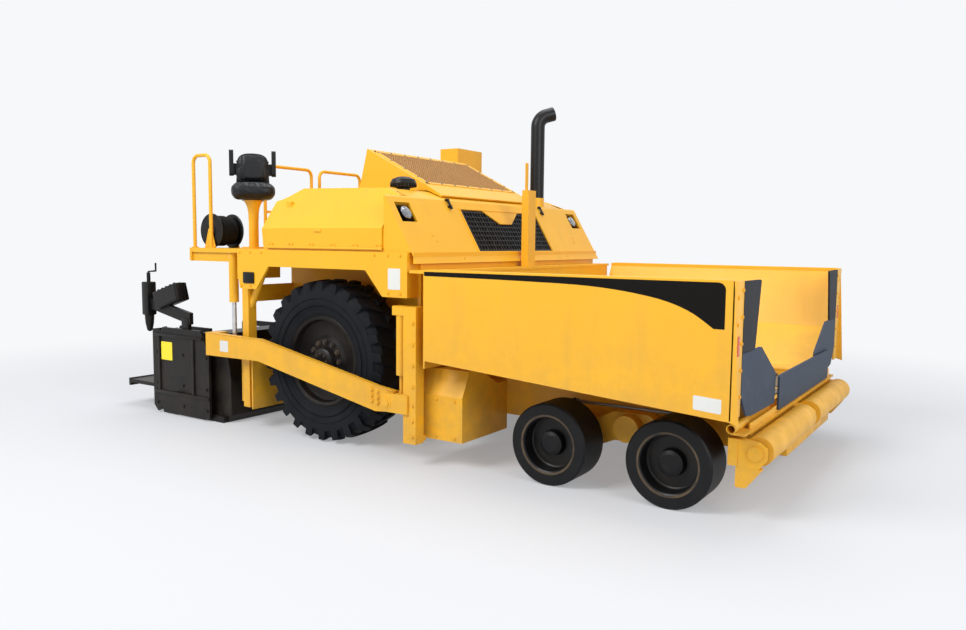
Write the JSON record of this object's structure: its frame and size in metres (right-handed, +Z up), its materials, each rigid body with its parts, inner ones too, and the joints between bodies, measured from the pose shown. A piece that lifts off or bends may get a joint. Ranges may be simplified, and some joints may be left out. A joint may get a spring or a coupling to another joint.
{
  "type": "wheeled asphalt paver",
  "caption": "Wheeled asphalt paver with a folding hopper, push rollers, steered bogie wheels, hood, two swivel seats, augers and an extending screed.",
  "frame": {"origin": "on the ground under the centre of the overall box", "axes": "+X forward to the hopper, +Y to the machine's left, +Z up"},
  "size_m": [6.44, 3.3, 3.0769],
  "materials": {
    "paint_yellow": "satin machine yellow paint",
    "steel_black": "black paint with worn edges",
    "steel_bare": "bare worn steel",
    "cast_frame": "painted casting",
    "tyre_rubber": "black tyre rubber",
    "flap_rubber": "blue-grey rubber sheet",
    "seat_vinyl": "black vinyl seat cover",
    "lamp": "black lamp housing with clear lens",
    "chrome_rod": "polished cylinder rod",
    "exhaust_black": "heat-resistant black paint",
    "reel_black": "black hose on a reel"
  },
  "bodies": {
    "tractor": {"chassis_frame": "paint_yellow", "final_drives": "steel_black", "bogie_beams": "steel_black", "deck_fenders": "paint_yellow", "hood_shell": "paint_yellow", "grille": "steel_black", "work_lights": "lamp", "engine_block": "cast_frame", "exhaust_stack": "exhaust_black", "intake_cap": "lamp", "handrails": "paint_yellow", "hose_reel": "reel_black", "seat_pedestals": "paint_yellow", "hopper_base": "paint_yellow", "conveyor": "steel_bare", "centre_flap": "flap_rubber", "push_bar": "paint_yellow", "tow_guides": "paint_yellow", "cylinder_barrels": "paint_yellow", "auger_frame": "paint_yellow"},
    "drive_wheel_right": {"drive_wheel_right": "tyre_rubber"},
    "drive_wheel_left": {"drive_wheel_left": "tyre_rubber"},
    "knuckle_front_right": {"knuckle_front_right": "steel_black"},
    "bogie_wheel_front_right": {"bogie_wheel_front_right": "tyre_rubber"},
    "knuckle_rear_right": {"knuckle_rear_right": "steel_black"},
    "bogie_wheel_rear_right": {"bogie_wheel_rear_right": "tyre_rubber"},
    "steer_link_right": {"steer_link_right": "steel_bare"},
    "knuckle_front_left": {"knuckle_front_left": "steel_black"},
    "bogie_wheel_front_left": {"bogie_wheel_front_left": "tyre_rubber"},
    "knuckle_rear_left": {"knuckle_rear_left": "steel_black"},
    "bogie_wheel_rear_left": {"bogie_wheel_rear_left": "tyre_rubber"},
    "steer_link_left": {"steer_link_left": "steel_bare"},
    "radiator_hood": {"radiator_hood": "paint_yellow"},
    "seat_right": {"seat_frame_right": "steel_black", "seat_pads_right": "seat_vinyl"},
    "seat_left": {"seat_frame_left": "steel_black", "seat_pads_left": "seat_vinyl"},
    "wing_right": {"hopper_wing_right": "paint_yellow", "wing_flap_right": "flap_rubber"},
    "wing_left": {"hopper_wing_left": "paint_yellow", "wing_flap_left": "flap_rubber"},
    "push_roller_right": {"push_roller_right": "steel_bare"},
    "push_roller_left": {"push_roller_left": "steel_bare"},
    "tow_slides": {"tow_slides": "steel_bare"},
    "screed": {"tow_arms": "paint_yellow", "screed_main": "steel_black"},
    "lift_rods": {"lift_rods": "chrome_rod"},
    "screed_extension_right": {"screed_extension_right": "steel_black"},
    "screed_extension_left": {"screed_extension_left": "steel_black"},
    "auger_right": {"auger_right": "steel_bare"},
    "auger_left": {"auger_left": "steel_bare"},
    "side_door_right": {"side_door_right": "paint_yellow"},
    "side_door_left": {"side_door_left": "paint_yellow"}
  },
  "joints": [
    {"name": "drive_wheel_right_spin", "type": "hinge", "parent": "tractor", "child": "drive_wheel_right", "pos_m": [-0.47, -1.25, 0.69], "axis": [0, 1, 0], "continuous": true},
    {"name": "drive_wheel_left_spin", "type": "hinge", "parent": "tractor", "child": "drive_wheel_left", "pos_m": [-0.47, 1.25, 0.69], "axis": [0, 1, 0], "continuous": true},
    {"name": "steer_front_right", "type": "hinge", "parent": "tractor", "child": "knuckle_front_right", "pos_m": [2.589, -1.19, 0.293], "axis": [0, 0, 1], "range_deg": [-20, 20]},
    {"name": "bogie_wheel_front_right_spin", "type": "hinge", "parent": "knuckle_front_right", "child": "bogie_wheel_front_right", "pos_m": [2.589, -1.271, 0.293], "axis": [0, 1, 0], "continuous": true},
    {"name": "steer_rear_right", "type": "hinge", "parent": "tractor", "child": "knuckle_rear_right", "pos_m": [1.71, -1.19, 0.293], "axis": [0, 0, 1], "range_deg": [-20, 20]},
    {"name": "bogie_wheel_rear_right_spin", "type": "hinge", "parent": "knuckle_rear_right", "child": "bogie_wheel_rear_right", "pos_m": [1.71, -1.271, 0.293], "axis": [0, 1, 0], "continuous": true},
    {"name": "steer_link_right_slide", "type": "slide", "parent": "tractor", "child": "steer_link_right", "axis": [1, 0, 0], "range_m": [-0.0629, 0.0629]},
    {"name": "steer_front_left", "type": "hinge", "parent": "tractor", "child": "knuckle_front_left", "pos_m": [2.589, 1.19, 0.293], "axis": [0, 0, 1], "range_deg": [-20, 20]},
    {"name": "bogie_wheel_front_left_spin", "type": "hinge", "parent": "knuckle_front_left", "child": "bogie_wheel_front_left", "pos_m": [2.589, 1.271, 0.293], "axis": [0, 1, 0], "continuous": true},
    {"name": "steer_rear_left", "type": "hinge", "parent": "tractor", "child": "knuckle_rear_left", "pos_m": [1.71, 1.19, 0.293], "axis": [0, 0, 1], "range_deg": [-20, 20]},
    {"name": "bogie_wheel_rear_left_spin", "type": "hinge", "parent": "knuckle_rear_left", "child": "bogie_wheel_rear_left", "pos_m": [1.71, 1.271, 0.293], "axis": [0, 1, 0], "continuous": true},
    {"name": "steer_link_left_slide", "type": "slide", "parent": "tractor", "child": "steer_link_left", "axis": [1, 0, 0], "range_m": [-0.0629, 0.0629]},
    {"name": "radiator_hood_lift", "type": "hinge", "parent": "tractor", "child": "radiator_hood", "pos_m": [-0.64, 0, 2.16], "axis": [0, -1, 0], "range_deg": [0, 55]},
    {"name": "seat_right_swivel", "type": "hinge", "parent": "tractor", "child": "seat_right", "pos_m": [-1.62, -1.15, 1.905], "axis": [0, 0, 1], "range_deg": [-50, 60]},
    {"name": "seat_left_swivel", "type": "hinge", "parent": "tractor", "child": "seat_left", "pos_m": [-1.62, 1.15, 1.905], "axis": [0, 0, 1], "range_deg": [-60, 50]},
    {"name": "wing_right_fold", "type": "hinge", "parent": "tractor", "child": "wing_right", "pos_m": [1.91, -0.7, 0.668], "axis": [-1, 0, 0], "range_deg": [0, 55]},
    {"name": "wing_left_fold", "type": "hinge", "parent": "tractor", "child": "wing_left", "pos_m": [1.91, 0.7, 0.668], "axis": [1, 0, 0], "range_deg": [0, 55]},
    {"name": "push_roller_right_spin", "type": "hinge", "parent": "tractor", "child": "push_roller_right", "pos_m": [3.127, -0.69, 0.441], "axis": [0, 1, 0], "continuous": true},
    {"name": "push_roller_left_spin", "type": "hinge", "parent": "tractor", "child": "push_roller_left", "pos_m": [3.127, 0.69, 0.441], "axis": [0, 1, 0], "continuous": true},
    {"name": "tow_point_height", "type": "slide", "parent": "tractor", "child": "tow_slides", "axis": [0, 0, 1], "range_m": [-0.05, 0.1]},
    {"name": "screed_lift", "type": "hinge", "parent": "tow_slides", "child": "screed", "pos_m": [0.417, 0, 0.475], "axis": [0, 1, 0], "range_deg": [0, 7]},
    {"name": "lift_rods_slide", "type": "slide", "parent": "tow_slides", "child": "lift_rods", "axis": [0, 0, 1], "range_m": [0, 0.2315]},
    {"name": "screed_extension_right_slide", "type": "slide", "parent": "screed", "child": "screed_extension_right", "axis": [0, -1, 0], "range_m": [0, 1.2]},
    {"name": "screed_extension_left_slide", "type": "slide", "parent": "screed", "child": "screed_extension_left", "axis": [0, 1, 0], "range_m": [0, 1.2]},
    {"name": "auger_right_spin", "type": "hinge", "parent": "tractor", "child": "auger_right", "pos_m": [-1.445, -0.7, 0.33], "axis": [0, 1, 0], "continuous": true},
    {"name": "auger_left_spin", "type": "hinge", "parent": "tractor", "child": "auger_left", "pos_m": [-1.445, 0.7, 0.33], "axis": [0, 1, 0], "continuous": true},
    {"name": "side_door_right_hinge", "type": "hinge", "parent": "tractor", "child": "side_door_right", "pos_m": [-0.325, -1.574, 1.646], "axis": [1, 0, 0], "range_deg": [0, 100]},
    {"name": "side_door_left_hinge", "type": "hinge", "parent": "tractor", "child": "side_door_left", "pos_m": [-0.325, 1.574, 1.646], "axis": [-1, 0, 0], "range_deg": [0, 100]}
  ],
  "couplings": [
    {"joint": "steer_rear_right", "follows": "steer_front_right", "ratio": 1},
    {"joint": "steer_link_right_slide", "follows": "steer_front_right", "m_per_rad": -0.18},
    {"joint": "steer_front_left", "follows": "steer_front_right", "ratio": 1},
    {"joint": "steer_rear_left", "follows": "steer_front_right", "ratio": 1},
    {"joint": "steer_link_left_slide", "follows": "steer_front_right", "m_per_rad": 0.18},
    {"joint": "lift_rods_slide", "follows": "screed_lift", "m_per_rad": 1.8949}
  ]
}
